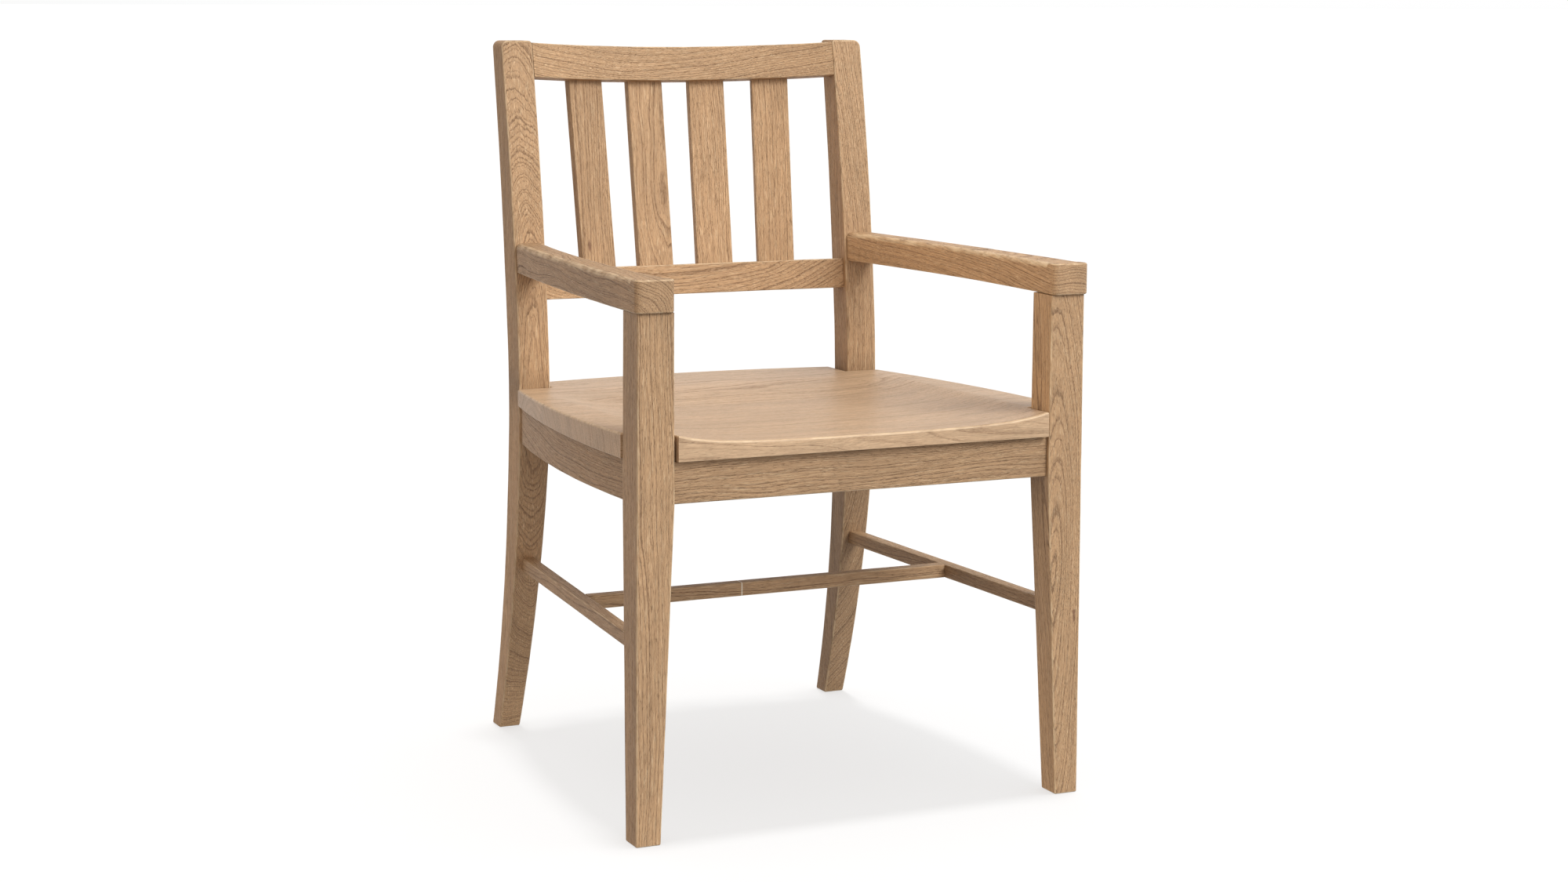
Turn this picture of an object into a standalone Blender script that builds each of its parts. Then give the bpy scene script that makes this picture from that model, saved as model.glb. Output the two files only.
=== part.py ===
"""Oak armchair: square posts, bowed slatted back, saddled solid seat and an H stretcher.

Metres, +Z up. The chair faces -Y and stands on Z = 0, centred on X = 0 and Y = 0.
Every wooden piece is its own solid, joined by real tenons, housings, dowels and screws.
"""
from math import atan, cos, exp, radians, sin

import bmesh
import bpy
from mathutils import Matrix, Vector

# ---- overall sizes -------------------------------------------------------------------
HEIGHT = 0.890
DEPTH = 0.6018
FRONT_SPAN = 0.572
BACK_SPAN = 0.500
SEAT_LEVEL = 0.458
SEAT_THICK = 0.0215
APRON_HEIGHT = 0.0482
ARM_UNDERSIDE = 0.603

# ---- clearances ----------------------------------------------------------------------
GAP = 0.0003
TENON_GAP = 0.0003
SEAT_NOTCH_GAP = 0.0027
EASED_EDGE = 0.0015

# ---- front posts ---------------------------------------------------------------------
POST_SPLAY = 0.0037
POST_WIDTH_TOP = 0.0443
POST_DEPTH = 0.0445
POST_FOOT_WIDTH = 0.0305
POST_FOOT_DEPTH = 0.0332
POST_TENON = 0.022
POST_TENON_HEIGHT = 0.016

# ---- back legs -----------------------------------------------------------------------
LEG_WIDTH = 0.0412
LEG_FOOT_WIDTH = 0.0284
LEG_FOOT_DEPTH = 0.0282
LEG_DEPTH_LOW = 0.0410
LEG_DEPTH_HIGH = 0.0418
LEG_DEPTH_TOP = 0.0350
LEG_KICK = 0.0903
LEG_KICK_POWER = 1.92
LEG_RECLINE = 0.0557
LEG_RECLINE_POWER = 1.55
LEG_TOP_ROUND = 0.009

# ---- back: rails and slats -----------------------------------------------------------
BACK_BOW = 0.0335
CREST_HEIGHT = 0.0440
CREST_DEPTH = 0.020
CREST_DROP = 0.0014
CREST_SETBACK = 0.0010
LOWER_RAIL_HEIGHT = 0.0387
LOWER_RAIL_DEPTH = 0.022
LOWER_RAIL_CENTRE = 0.5875
LOWER_RAIL_SETBACK = 0.0070
RAIL_TENON = 0.018
RAIL_TENON_THICK = 0.010
RAIL_SHOULDER = 0.006
SLAT_COUNT = 4
SLAT_WIDTH = 0.0490
SLAT_THICK = 0.0120
SLAT_SETBACK = 0.0113
SLAT_PITCH_LOW = 0.0833
SLAT_PITCH_HIGH = 0.0868
SLAT_HOUSING = 0.010

# ---- seat ----------------------------------------------------------------------------
SEAT_OVERHANG = 0.0040
SEAT_RIM_RISE = 0.0085
SEAT_SCOOP = 0.0122
SEAT_SCOOP_RUN = 0.045
SEAT_SIDE_BOW = 0.0125
SEAT_REAR_BOW = 0.028
SEAT_REAR_PROUD = 0.001
SEAT_SIDE_PROUD_FRONT = 0.0009
SEAT_SIDE_PROUD_BACK = 0.0020
SEAT_EDGE_ROUND = 0.0025

# ---- aprons and corner blocks --------------------------------------------------------
APRON_THICK = 0.020
FRONT_APRON_SETBACK = 0.0050
SIDE_APRON_FRONT_IN = 0.0050
SIDE_APRON_BACK_IN = 0.0025
SIDE_APRON_BOW = 0.0130
BACK_APRON_SETBACK = 0.0125
APRON_TENON = 0.015
APRON_TENON_THICK = 0.008
BLOCK_REACH = 0.050
BLOCK_HEIGHT = 0.036

# ---- arms ----------------------------------------------------------------------------
ARM_THICK = 0.037
ARM_OVERHANG_FRONT = 0.0045
ARM_OVERHANG_SIDE = 0.0034
ARM_WIDTH_FRONT = 0.0477
ARM_WIDTH_MIDDLE = 0.0345
ARM_WIDTH_BACK = 0.0365
ARM_BACK_IN = 0.0020
ARM_BOW = 0.006
ARM_END_ROUND = 0.008
ARM_CORNER_ROUND = 0.005
ARM_TOP_ROUND = 0.004
DOWEL_RADIUS = 0.005
DOWEL_LENGTH = 0.040
DOWEL_SPACING = 0.018

# ---- stretchers ----------------------------------------------------------------------
STRETCHER_WIDTH = 0.016
STRETCHER_HEIGHT = 0.017
STRETCHER_TOP_FRONT = 0.2325
STRETCHER_TOP_BACK = 0.2370
CROSS_STRETCHER_AT = 0.269
STRETCHER_TENON = 0.012
STRETCHER_TENON_WIDTH = 0.009
STRETCHER_TENON_HEIGHT = 0.011
CROSS_TENON = 0.007

# ---- screws --------------------------------------------------------------------------
SCREW_RADIUS = 0.0020
SCREW_HEAD_RADIUS = 0.0038
SCREW_HEAD = 0.0025
SCREW_LENGTH = 0.026
SEAT_SCREW_LENGTH = 0.040
SCREW_RECESS = 0.0045
COUNTERBORE_RADIUS = 0.0046

# ---- places that follow from the sizes -----------------------------------------------
POST_FRONT_Y = -DEPTH / 2 + max(ARM_OVERHANG_FRONT, SEAT_OVERHANG)
FOOT_REAR_Y = DEPTH / 2
LEG_FRONT_Y = FOOT_REAR_Y - LEG_FOOT_DEPTH - LEG_KICK
LEG_OUTER = BACK_SPAN / 2
LEG_INNER = LEG_OUTER - LEG_WIDTH
POST_FOOT_OUTER = FRONT_SPAN / 2
POST_INNER = POST_FOOT_OUTER - POST_SPLAY - POST_WIDTH_TOP
SEAT_UNDERSIDE = SEAT_LEVEL - SEAT_THICK
APRON_TOP = SEAT_UNDERSIDE - GAP
APRON_BOTTOM = APRON_TOP - APRON_HEIGHT
ARM_TOP = ARM_UNDERSIDE + ARM_THICK
CREST_CENTRE = HEIGHT - CREST_DROP - CREST_HEIGHT / 2
SEAT_REAR_Y = LEG_FRONT_Y + LEG_DEPTH_HIGH + SEAT_REAR_PROUD
BAR_CUTS = 11

# ---- scene and helpers ---------------------------------------------------------------
for old in list(bpy.data.objects):
    bpy.data.objects.remove(old, do_unlink=True)
for old in list(bpy.data.collections):
    bpy.data.collections.remove(old)

chair = bpy.data.collections.new("oak_armchair")
cutters = bpy.data.collections.new("cutters")
bpy.context.scene.collection.children.link(chair)
bpy.context.scene.collection.children.link(cutters)
cutters.hide_render = True

OAK = (0.48, 0.31, 0.18)
OAK_PALE = (0.62, 0.46, 0.31)
BEECH = (0.66, 0.50, 0.33)
STEEL = (0.55, 0.54, 0.50)


def mix(a, b, t):
    return a + (b - a) * t


def clamp(t):
    return min(1.0, max(0.0, t))


def smooth(t):
    t = clamp(t)
    return t * t * (3.0 - 2.0 * t)


def finish_piece(name, bm, colour=OAK, rough=0.55, metal=0.0, helper=False):
    """Makes an object from the mesh, with its own material, or a hidden cutter."""
    bmesh.ops.recalc_face_normals(bm, faces=bm.faces)
    mesh = bpy.data.meshes.new(name)
    bm.to_mesh(mesh)
    bm.free()
    piece = bpy.data.objects.new(name, mesh)
    (cutters if helper else chair).objects.link(piece)
    if helper:
        piece.hide_render = True
        piece.display_type = "WIRE"
        return piece
    material = bpy.data.materials.new(name)
    material.use_nodes = True
    shader = material.node_tree.nodes["Principled BSDF"]
    shader.inputs["Base Color"].default_value = (*colour, 1.0)
    shader.inputs["Roughness"].default_value = rough
    shader.inputs["Metallic"].default_value = metal
    mesh.materials.append(material)
    return piece


def bar(place, cuts=(0, 0, 0), ease=EASED_EDGE, ease_segments=1, rounds=()):
    """A unit box cut into rings along each axis, each corner then sent to place(u, v, w).

    u, v and w run from 0 to 1 along X, Y and Z. Each entry of rounds is a test of an edge's
    middle in u, v, w, a radius and a number of segments, and is rounded before the rest is eased.
    """
    bm = bmesh.new()
    bmesh.ops.create_cube(bm, size=1.0, matrix=Matrix.Translation((0.5, 0.5, 0.5)))
    for axis, count in enumerate(cuts):
        if count:
            along = [e for e in bm.edges if abs(e.verts[0].co[axis] - e.verts[1].co[axis]) > 0.5]
            bmesh.ops.subdivide_edges(bm, edges=along, cuts=count, use_grid_fill=True)
    tests = [[e for e in bm.edges if test(*((e.verts[0].co + e.verts[1].co) / 2))]
             for test, _, _ in rounds]
    for vert in bm.verts:
        vert.co = Vector(place(*vert.co))
    bmesh.ops.recalc_face_normals(bm, faces=bm.faces)
    for edges, (_, radius, segments) in zip(tests, rounds):
        edges = [e for e in edges if e.is_valid]
        bmesh.ops.bevel(bm, geom=edges, offset=radius, segments=segments, profile=0.5,
                        affect="EDGES", clamp_overlap=True, material=-1)
    if ease:
        sharp = [e for e in bm.edges if e.calc_face_angle(0.0) > radians(50)]
        bmesh.ops.bevel(bm, geom=sharp, offset=ease, segments=ease_segments, profile=0.5,
                        affect="EDGES", clamp_overlap=True, material=-1)
    return bm


def boolean(piece, other, operation):
    modifier = piece.modifiers.new(operation.lower(), "BOOLEAN")
    modifier.operation = operation
    modifier.solver = "EXACT"
    modifier.object = other


def cut(piece, other):
    boolean(piece, other, "DIFFERENCE")


def join(piece, other):
    boolean(piece, other, "UNION")


def block(name, centre, size, along=Vector((0, 1, 0)), up=Vector((0, 0, 1)), grow=0.0):
    """A hidden box of this size in its own axes: width, length (along) and height (up)."""
    along = along.normalized()
    side = along.cross(up).normalized()
    up = side.cross(along)
    axes = Matrix((side, along, up)).transposed().to_4x4()
    scale = Matrix.Diagonal((*[s + 2 * grow for s in size], 1.0))
    bm = bmesh.new()
    bmesh.ops.create_cube(bm, size=1.0, matrix=Matrix.Translation(centre) @ axes @ scale)
    return finish_piece(name, bm, helper=True)


def rod(name, start, end, radius, helper=False, head=0.0, head_radius=0.0, **look):
    """A round bar from start to end, with a wider head at its start when one is asked for."""
    start, end = Vector(start), Vector(end)
    along = end - start
    turn = along.to_track_quat("Z", "Y").to_matrix().to_4x4()
    middle = Matrix.Translation((start + end) / 2) @ turn
    bm = bmesh.new()
    bmesh.ops.create_cone(bm, cap_ends=True, segments=16, radius1=radius, radius2=radius,
                          depth=along.length, matrix=middle)
    if head:
        cap = next(f for f in bm.faces
                   if len(f.verts) > 4 and (f.calc_center_median() - start).length < 1e-5)
        bmesh.ops.inset_region(bm, faces=[cap], thickness=0.0005, use_even_offset=True)
        rim = bmesh.ops.extrude_discrete_faces(bm, faces=[cap])["faces"][0]
        bmesh.ops.translate(bm, verts=rim.verts, vec=-along.normalized() * head)
        for vert in rim.verts:
            out = vert.co - start
            out -= along.normalized() * out.dot(along.normalized())
            vert.co += out.normalized() * (head_radius - out.length)
    return finish_piece(name, bm, helper=helper, **look)


SIDES = (("left", -1), ("right", 1))


# ---- shapes shared by several pieces ---------------------------------------------------
def taper_down(z):
    """1 at the floor, 0 from the apron's lower edge up."""
    return clamp((APRON_BOTTOM - z) / APRON_BOTTOM)


def post_outer(z):
    return POST_FOOT_OUTER - POST_SPLAY * z / ARM_UNDERSIDE


def post_inner(z):
    return mix(POST_INNER, POST_FOOT_OUTER - POST_FOOT_WIDTH, taper_down(z))


def post_rear(z):
    return POST_FRONT_Y + mix(POST_DEPTH, POST_FOOT_DEPTH, taper_down(z))


def leg_front(z):
    if z < SEAT_LEVEL:
        return LEG_FRONT_Y + LEG_KICK * ((SEAT_LEVEL - z) / SEAT_LEVEL) ** LEG_KICK_POWER
    rise = (z - SEAT_LEVEL) / (HEIGHT - SEAT_LEVEL)
    return LEG_FRONT_Y + LEG_RECLINE * rise ** LEG_RECLINE_POWER


def leg_depth(z):
    low = SEAT_LEVEL * 2 / 3
    high = SEAT_LEVEL * 4 / 3
    if z < low:
        return mix(LEG_FOOT_DEPTH, LEG_DEPTH_LOW, z / low)
    if z < high:
        return mix(LEG_DEPTH_LOW, LEG_DEPTH_HIGH, (z - low) / (high - low))
    return mix(LEG_DEPTH_HIGH, LEG_DEPTH_TOP, (z - high) / (HEIGHT - high))


def leg_inner(z):
    return mix(LEG_INNER, LEG_OUTER - LEG_FOOT_WIDTH, taper_down(z))


def lean_at(z):
    """The back's lean from upright at this height, as an angle."""
    return atan((leg_front(z + 0.005) - leg_front(z - 0.005)) / 0.01)


def bow_at(x):
    return BACK_BOW * (1.0 - (x / LEG_INNER) ** 2)


def rail_point(x, inward, upward, centre, setback):
    """A point of the leaning back: across, back from the legs' front face, and up from the centre."""
    lean = lean_at(centre)
    back = setback + inward
    return Vector((x, leg_front(centre) + back * cos(lean) + upward * sin(lean),
                   centre - back * sin(lean) + upward * cos(lean)))


def side_line(y, front, rear, bow):
    """Half width at depth y of a side edge that runs from the post to the back leg."""
    start = POST_FRONT_Y + POST_DEPTH
    t = (y - start) / (LEG_FRONT_Y - start)
    return mix(front, rear, t) + bow * 4 * t * (1 - t)


def seat_side(y):
    return side_line(y, post_outer(SEAT_LEVEL) + SEAT_SIDE_PROUD_FRONT,
                     LEG_OUTER + SEAT_SIDE_PROUD_BACK, SEAT_SIDE_BOW)


def apron_side(y):
    return side_line(y, post_outer(SEAT_LEVEL) - SIDE_APRON_FRONT_IN,
                     LEG_OUTER - SIDE_APRON_BACK_IN, SIDE_APRON_BOW)


def arm_outer(t):
    """Half width of the arm's outer face: t is 0 at the front end, 1 at the back leg."""
    front = post_outer(ARM_UNDERSIDE) + ARM_OVERHANG_SIDE
    return mix(front, LEG_OUTER - ARM_BACK_IN, t) + ARM_BOW * 4 * t * (1 - t)


def arm_width(t):
    ends = mix(ARM_WIDTH_FRONT, ARM_WIDTH_BACK, t)
    middle = (ARM_WIDTH_FRONT + ARM_WIDTH_BACK) / 2 - ARM_WIDTH_MIDDLE
    return ends - middle * 4 * t * (1 - t)


# ---- back legs and front posts ---------------------------------------------------------
def back_leg(name, side, grow=0.0, **how):
    def place(u, v, w):
        z = mix(-grow, HEIGHT + grow, w)
        x = mix(leg_inner(z) - grow, LEG_OUTER + grow, u)
        y = mix(leg_front(z) - grow, leg_front(z) + leg_depth(z) + grow, v)
        return side * x, y, z

    if grow:
        return finish_piece(name, bar(place, (0, 0, 2 * BAR_CUTS + 1), ease=0.0), helper=True)
    top = ((lambda u, v, w: w > 0.999 and u > 0.999, LEG_TOP_ROUND, 4),
           (lambda u, v, w: w > 0.999 and u < 0.001, LEG_TOP_ROUND / 2, 3))
    return finish_piece(name, bar(place, (0, 0, 2 * BAR_CUTS + 1), rounds=top), **how)


def front_post(name, side, grow=0.0, **how):
    def place(u, v, w):
        z = APRON_BOTTOM * w * 2 if w < 0.5 else mix(APRON_BOTTOM, ARM_UNDERSIDE - GAP, 2 * w - 1)
        z = mix(-grow, ARM_UNDERSIDE - GAP + grow, w) if grow and w in (0.0, 1.0) else z
        x = mix(post_inner(z) - grow, post_outer(z) + grow, u)
        y = mix(POST_FRONT_Y - grow, post_rear(z) + grow, v)
        return side * x, y, z

    ease = 0.0 if grow else EASED_EDGE
    return finish_piece(name, bar(place, (0, 0, 1), ease=ease), helper=bool(grow), **how)


legs = {side: back_leg(f"{name}_back_leg", side) for name, side in SIDES}
posts = {side: front_post(f"{name}_front_leg", side) for name, side in SIDES}
leg_shapes = {side: back_leg(f"{name}_back_leg_clearance", side, grow=GAP)
              for name, side in SIDES}
post_shapes = {side: front_post(f"{name}_front_leg_clearance", side, grow=GAP)
               for name, side in SIDES}


# ---- arms ------------------------------------------------------------------------------
ARM_FRONT_Y = POST_FRONT_Y - ARM_OVERHANG_FRONT
ARM_MIDDLE = ARM_UNDERSIDE + ARM_THICK / 2
ARM_BACK_Y = leg_front(ARM_MIDDLE)


def arm(name, side):
    def place(u, v, w):
        y = mix(ARM_FRONT_Y, ARM_BACK_Y + 0.006, v)
        outer = arm_outer(v)
        x = mix(outer - arm_width(v), outer, u)
        return side * x, y, mix(ARM_UNDERSIDE, ARM_TOP, w)

    rounds = (
        (lambda u, v, w: v < 0.001 and 0.001 < w < 0.999, ARM_CORNER_ROUND, 3),
        (lambda u, v, w: v < 0.001 and w > 0.999, ARM_END_ROUND, 3),
        (lambda u, v, w: v > 0.001 and w > 0.999, ARM_TOP_ROUND, 2),
    )
    return finish_piece(name, bar(place, (0, 7, 0), rounds=rounds))


arms = {}
for name, side in SIDES:
    arms[side] = arm(f"{name}_arm", side)
    cut(arms[side], leg_shapes[side])

    # Stub tenon on the post, up into the arm.
    centre = Vector((side * (post_inner(ARM_UNDERSIDE) + post_outer(ARM_UNDERSIDE)) / 2,
                     POST_FRONT_Y + POST_DEPTH / 2, ARM_UNDERSIDE))
    size = (POST_TENON, POST_TENON, 2 * POST_TENON_HEIGHT)
    join(posts[side], block(f"{name}_post_tenon", centre, size))
    cut(arms[side], block(f"{name}_post_mortise", centre, size, grow=TENON_GAP))

    # Two dowels fix the arm to the front face of the back leg.
    middle_x = side * (arm_outer(0.98) - arm_width(0.98) / 2)
    for number, shift in ((1, -0.5), (2, 0.5)):
        z = ARM_MIDDLE + shift * DOWEL_SPACING
        joint = Vector((middle_x, leg_front(z), z))
        ahead = Vector((0, DOWEL_LENGTH / 2, 0))
        rod(f"{name}_arm_dowel_{number}", joint - ahead, joint + ahead, DOWEL_RADIUS,
            colour=BEECH, rough=0.7)
        ahead.y += TENON_GAP
        hole = rod(f"{name}_arm_dowel_hole_{number}", joint - ahead, joint + ahead,
                   DOWEL_RADIUS + TENON_GAP, helper=True)
        cut(arms[side], hole)
        cut(legs[side], hole)


# ---- back rails ------------------------------------------------------------------------
def back_rail(name, centre, height, depth, setback):
    def place(u, v, w):
        x = mix(-LEG_INNER + GAP, LEG_INNER - GAP, u)
        return rail_point(x, bow_at(x) + depth * v, height * (w - 0.5), centre, setback)

    rail = finish_piece(name, bar(place, (BAR_CUTS, 0, 0)))
    lean = lean_at(centre)
    up = Vector((0, sin(lean), cos(lean)))
    for label, side in SIDES:
        middle = rail_point(side * LEG_INNER, depth / 2, 0.0, centre, setback)
        size = (RAIL_TENON_THICK, 2 * RAIL_TENON, height - 2 * RAIL_SHOULDER)
        across = Vector((side, 0, 0))
        join(rail, block(f"{label}_{name}_tenon", middle, size, along=across, up=up))
        cut(legs[side], block(f"{label}_{name}_mortise", middle, size, along=across, up=up,
                              grow=TENON_GAP))
    return rail


crest = back_rail("crest_rail", CREST_CENTRE, CREST_HEIGHT, CREST_DEPTH, CREST_SETBACK)
lower = back_rail("lower_back_rail", LOWER_RAIL_CENTRE, LOWER_RAIL_HEIGHT, LOWER_RAIL_DEPTH,
                  LOWER_RAIL_SETBACK)


# ---- slats -----------------------------------------------------------------------------
def slat_axis(index):
    """The slat's lower and upper ends at the rails' faces, on its middle plane, and its facing."""
    offset = index - (SLAT_COUNT - 1) / 2
    low_x, high_x = offset * SLAT_PITCH_LOW, offset * SLAT_PITCH_HIGH
    low = rail_point(low_x, bow_at(low_x) + SLAT_THICK / 2, LOWER_RAIL_HEIGHT / 2,
                     LOWER_RAIL_CENTRE, SLAT_SETBACK)
    high = rail_point(high_x, bow_at(high_x) + SLAT_THICK / 2, -CREST_HEIGHT / 2,
                      CREST_CENTRE, SLAT_SETBACK)
    along = (high - low).normalized()
    middle_x = (low_x + high_x) / 2
    across = Vector((1.0, -2 * BACK_BOW * middle_x / LEG_INNER ** 2, 0.0)).normalized()
    return low, high, along, across


for index in range(SLAT_COUNT):
    low, high, along, across = slat_axis(index)
    facing = across.cross(along).normalized()
    low_end, high_end = low - along * SLAT_HOUSING, high + along * SLAT_HOUSING

    def slat_place(u, v, w, a=low_end, b=high_end, s=across, n=facing):
        return a.lerp(b, w) + s * SLAT_WIDTH * (u - 0.5) - n * SLAT_THICK * (v - 0.5)

    finish_piece(f"back_slat_{index + 1}", bar(slat_place))
    housing = block(f"slat_housing_{index + 1}", (low_end + high_end) / 2,
                    (SLAT_WIDTH, (high_end - low_end).length, SLAT_THICK), along=along,
                    up=facing, grow=TENON_GAP)
    cut(crest, housing)
    cut(lower, housing)


# ---- seat ------------------------------------------------------------------------------
SEAT_FRONT_Y = POST_FRONT_Y - SEAT_OVERHANG


def seat_top(x, y):
    """Height of the saddled top: a rim that falls to the back and a scoop open at the front."""
    t = (y - SEAT_FRONT_Y) / (LEG_FRONT_Y - SEAT_FRONT_Y)
    rim = SEAT_LEVEL + SEAT_RIM_RISE * (1.0 - clamp(t))
    inside = max(0.0, POST_INNER - SEAT_NOTCH_GAP - abs(x))
    wide = 1.0 - exp(-inside / SEAT_SCOOP_RUN)
    deep = 1.0 - smooth((t - 0.62) / 0.34)
    return rim - SEAT_SCOOP * wide * deep


def seat_place(u, v, w):
    across = 2 * u - 1
    back_edge = SEAT_REAR_Y + SEAT_REAR_BOW * (1.0 - across ** 2)
    y = mix(SEAT_FRONT_Y, back_edge, v)
    x = across * seat_side(min(y, LEG_FRONT_Y))
    return x, y, SEAT_UNDERSIDE if w < 0.5 else seat_top(x, y)


seat_rounds = ((lambda u, v, w: w > 0.999 and (v < 0.001 or u < 0.001 or u > 0.999 or v > 0.999),
                SEAT_EDGE_ROUND, 2),)
seat = finish_piece("seat", bar(seat_place, (17, 11, 0), rounds=seat_rounds), colour=OAK_PALE)
NOTCH_HEIGHT = 4 * SEAT_THICK
for name, side in SIDES:
    notch_x = POST_INNER - SEAT_NOTCH_GAP
    notch_y = POST_FRONT_Y + POST_DEPTH + SEAT_NOTCH_GAP
    far_x, far_y = notch_x + 0.1, SEAT_FRONT_Y - 0.05
    cut(seat, block(f"{name}_post_notch",
                    Vector((side * (notch_x + far_x) / 2, (far_y + notch_y) / 2, SEAT_LEVEL)),
                    (far_x - notch_x, notch_y - far_y, NOTCH_HEIGHT)))
    notch_x = LEG_INNER - SEAT_NOTCH_GAP
    far_x, far_y = notch_x + 0.1, LEG_FRONT_Y + 0.15
    notch_y = LEG_FRONT_Y - GAP
    cut(seat, block(f"{name}_leg_notch",
                    Vector((side * (notch_x + far_x) / 2, (far_y + notch_y) / 2, SEAT_LEVEL)),
                    (far_x - notch_x, far_y - notch_y, NOTCH_HEIGHT)))


# ---- aprons ----------------------------------------------------------------------------
APRON_MIDDLE = (APRON_TOP + APRON_BOTTOM) / 2
FRONT_APRON_Y = POST_FRONT_Y + FRONT_APRON_SETBACK
BACK_APRON_Y = LEG_FRONT_Y + BACK_APRON_SETBACK


def cross_apron(name, front_y, ends, shapes, inner):
    def place(u, v, w):
        reach = inner + 0.004
        return mix(-reach, reach, u), front_y + APRON_THICK * v, mix(APRON_BOTTOM, APRON_TOP, w)

    piece = finish_piece(name, bar(place))
    for label, side in SIDES:
        cut(piece, shapes[side])
        middle = Vector((side * inner, front_y + APRON_THICK / 2, APRON_MIDDLE))
        size = (APRON_TENON_THICK, 2 * APRON_TENON, APRON_HEIGHT - 2 * RAIL_SHOULDER)
        across = Vector((side, 0, 0))
        join(piece, block(f"{label}_{name}_tenon", middle, size, along=across))
        cut(ends[side], block(f"{label}_{name}_mortise", middle, size, along=across,
                              grow=TENON_GAP))
    return piece


front_apron = cross_apron("front_apron", FRONT_APRON_Y, posts, post_shapes, POST_INNER)
back_apron = cross_apron("back_apron", BACK_APRON_Y, legs, leg_shapes, LEG_INNER)

side_aprons = {}
for name, side in SIDES:
    start_y, end_y = POST_FRONT_Y + POST_DEPTH, LEG_FRONT_Y

    def apron_place(u, v, w, side=side):
        y = mix(start_y - 0.003, end_y + 0.006, v)
        return side * (apron_side(y) - APRON_THICK * (1 - u)), y, mix(APRON_BOTTOM, APRON_TOP, w)

    piece = finish_piece(f"{name}_side_apron", bar(apron_place, (0, 9, 0)))
    cut(piece, post_shapes[side])
    cut(piece, leg_shapes[side])
    for label, y, into, ends in (("front", start_y, -1, posts), ("back", end_y, 1, legs)):
        middle = Vector((side * (apron_side(y) - APRON_THICK / 2), y, APRON_MIDDLE))
        size = (APRON_TENON_THICK, 2 * APRON_TENON, APRON_HEIGHT - 2 * RAIL_SHOULDER)
        along = Vector((0, into, 0))
        join(piece, block(f"{name}_apron_{label}_tenon", middle, size, along=along))
        cut(ends[side], block(f"{name}_apron_{label}_mortise", middle, size, along=along,
                              grow=TENON_GAP))
    side_aprons[side] = piece


# ---- stretchers ------------------------------------------------------------------------
def stretcher_top(y):
    start, end = POST_FRONT_Y + POST_DEPTH, LEG_FRONT_Y
    return mix(STRETCHER_TOP_FRONT, STRETCHER_TOP_BACK, (y - start) / (end - start))


side_stretchers = {}
STRETCHER_MIDDLE_Z = (STRETCHER_TOP_FRONT + STRETCHER_TOP_BACK - STRETCHER_HEIGHT) / 2
stretcher_start = post_rear(STRETCHER_MIDDLE_Z)
stretcher_end = leg_front(STRETCHER_MIDDLE_Z)
front_x = (post_inner(STRETCHER_MIDDLE_Z) + post_outer(STRETCHER_MIDDLE_Z)) / 2
back_x = (leg_inner(STRETCHER_MIDDLE_Z) + LEG_OUTER) / 2


def stretcher_centre(y):
    t = (y - stretcher_start) / (stretcher_end - stretcher_start)
    return mix(front_x, back_x, t)


for name, side in SIDES:
    def stretcher_place(u, v, w, side=side):
        y = mix(stretcher_start - 0.004, stretcher_end + 0.006, v)
        z = stretcher_top(y) - STRETCHER_HEIGHT * (1 - w)
        return side * (stretcher_centre(y) + STRETCHER_WIDTH * (u - 0.5)), y, z

    piece = finish_piece(f"{name}_side_stretcher", bar(stretcher_place))
    cut(piece, post_shapes[side])
    cut(piece, leg_shapes[side])
    ends = (("front", stretcher_start, -1, posts), ("back", stretcher_end, 1, legs))
    for label, y, into, pieces in ends:
        middle = Vector((side * stretcher_centre(y), y, stretcher_top(y) - STRETCHER_HEIGHT / 2))
        size = (STRETCHER_TENON_WIDTH, 2 * STRETCHER_TENON, STRETCHER_TENON_HEIGHT)
        run = Vector((side * (back_x - front_x), stretcher_end - stretcher_start, 0)) * into
        join(piece, block(f"{name}_stretcher_{label}_tenon", middle, size, along=run))
        cut(pieces[side], block(f"{name}_stretcher_{label}_mortise", middle, size, along=run,
                                grow=TENON_GAP))
    side_stretchers[side] = piece

cross_y = POST_FRONT_Y + CROSS_STRETCHER_AT
cross_top = stretcher_top(cross_y)
cross_end = stretcher_centre(cross_y) - STRETCHER_WIDTH / 2
run_slope = (back_x - front_x) / (stretcher_end - stretcher_start)


def cross_place(u, v, w):
    y = cross_y + STRETCHER_WIDTH * (v - 0.5)
    reach = cross_end + run_slope * (y - cross_y) - GAP
    return mix(-reach, reach, u), y, cross_top - STRETCHER_HEIGHT * (1 - w)


cross = finish_piece("cross_stretcher", bar(cross_place))
for name, side in SIDES:
    middle = Vector((side * cross_end, cross_y, cross_top - STRETCHER_HEIGHT / 2))
    size = (STRETCHER_TENON_WIDTH, 2 * CROSS_TENON, STRETCHER_TENON_HEIGHT)
    across = Vector((side, 0, 0))
    join(cross, block(f"{name}_cross_tenon", middle, size, along=across))
    cut(side_stretchers[side], block(f"{name}_cross_mortise", middle, size, along=across,
                                     grow=TENON_GAP))


# ---- corner blocks and their screws ------------------------------------------------------
BLOCK_TOP = SEAT_UNDERSIDE - GAP
BLOCK_BOTTOM = BLOCK_TOP - BLOCK_HEIGHT


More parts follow.
